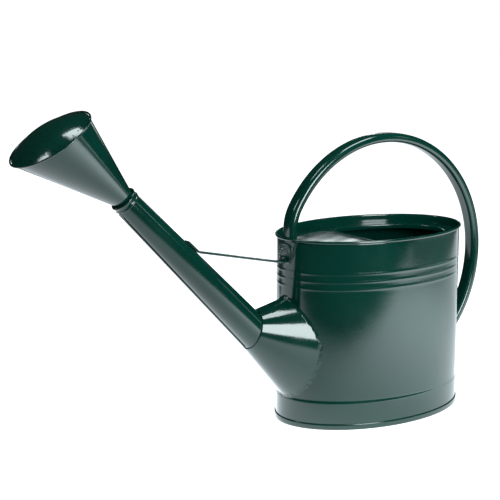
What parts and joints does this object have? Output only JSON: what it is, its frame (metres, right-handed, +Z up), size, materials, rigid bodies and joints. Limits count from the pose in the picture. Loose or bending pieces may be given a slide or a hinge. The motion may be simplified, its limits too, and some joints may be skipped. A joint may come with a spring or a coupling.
{
  "type": "watering can",
  "caption": "Oval enamelled steel watering can with a half-covered top, hoop handle, long tapered spout on a funnel boot, strip brace and a pull-off domed rose.",
  "frame": {"origin": "on the ground under the middle of the overall length and width", "axes": "+X along the can towards the rose, +Y across the can, +Z up; the can stands on z = 0"},
  "size_m": [0.7346, 0.1916, 0.4444],
  "materials": {
    "green_enamel": "deep green gloss enamel over galvanised sheet steel",
    "green_enamel_inside": "thin green enamel, less glossy",
    "steel_wire": "bare galvanised wire"
  },
  "bodies": {
    "can": {"body_shell": "green_enamel", "body_side_seam": "green_enamel", "rim_wire": "steel_wire", "foot_ring": "green_enamel", "base_pan": "green_enamel_inside", "top_deck": "green_enamel", "spout_boot": "green_enamel", "spout_tube": "green_enamel", "spout_seam": "green_enamel", "tip_collar": "green_enamel", "brace_strip": "green_enamel", "brace_foot_plate": "green_enamel", "handle_hoop": "green_enamel", "handle_rear_plate": "green_enamel"},
    "rose_neck": {"rose_neck": "green_enamel"},
    "rose_head": {"rose_cone": "green_enamel", "rose_face": "green_enamel", "rose_rim": "green_enamel", "rose_seam": "green_enamel"}
  },
  "joints": [
    {"name": "rose_slide", "type": "slide", "parent": "can", "child": "rose_neck", "axis": [0.7022, 0, 0.712], "range_m": [0, 0.03]},
    {"name": "rose_twist", "type": "hinge", "parent": "rose_neck", "child": "rose_head", "pos_m": [0.2245, 0, 0.33403], "axis": [0.7022, 0, 0.712], "continuous": true}
  ]
}
